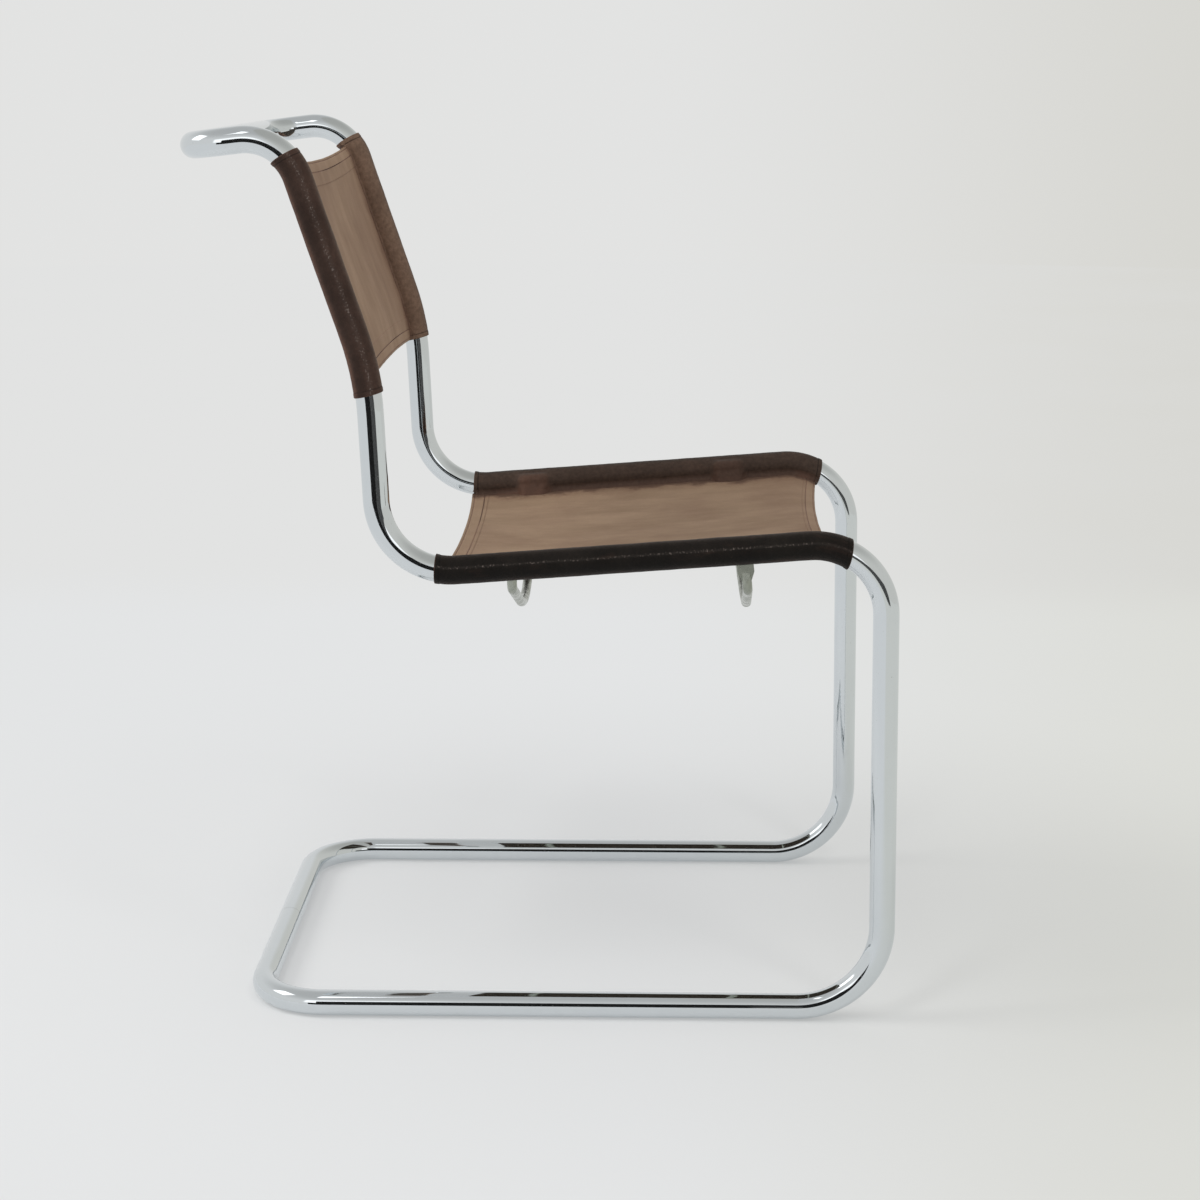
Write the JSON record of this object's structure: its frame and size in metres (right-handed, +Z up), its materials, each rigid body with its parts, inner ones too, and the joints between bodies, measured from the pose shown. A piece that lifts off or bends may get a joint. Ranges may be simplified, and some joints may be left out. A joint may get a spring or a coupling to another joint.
{
  "type": "cantilever chair",
  "caption": "Cantilever dining chair: one loop of bent chromed tube, seat and back slings on sleeves, bowed stretchers.",
  "frame": {"origin": "bottom centre of the chair's bounding box, on the floor", "axes": "+Z up; the chair faces -Y; X across, the sitter's left is +X"},
  "size_m": [0.5024, 0.6748, 0.8586],
  "materials": {
    "chrome": "polished",
    "plated_rod": "dull",
    "steel": "satin",
    "panel_leather": "worn",
    "sleeve_leather": "semi-gloss"
  },
  "bodies": {
    "root": {"frame_tube": "chrome", "joint_spigot": "steel", "joint_screws": "steel", "seat_panel": "panel_leather", "seat_sleeve_left": "sleeve_leather", "seat_sleeve_right": "sleeve_leather", "back_panel": "panel_leather", "back_sleeve_left": "sleeve_leather", "back_sleeve_right": "sleeve_leather", "stretcher_front": "plated_rod", "stretcher_rear": "plated_rod", "stretcher_screws": "steel"}
  },
  "joints": []
}
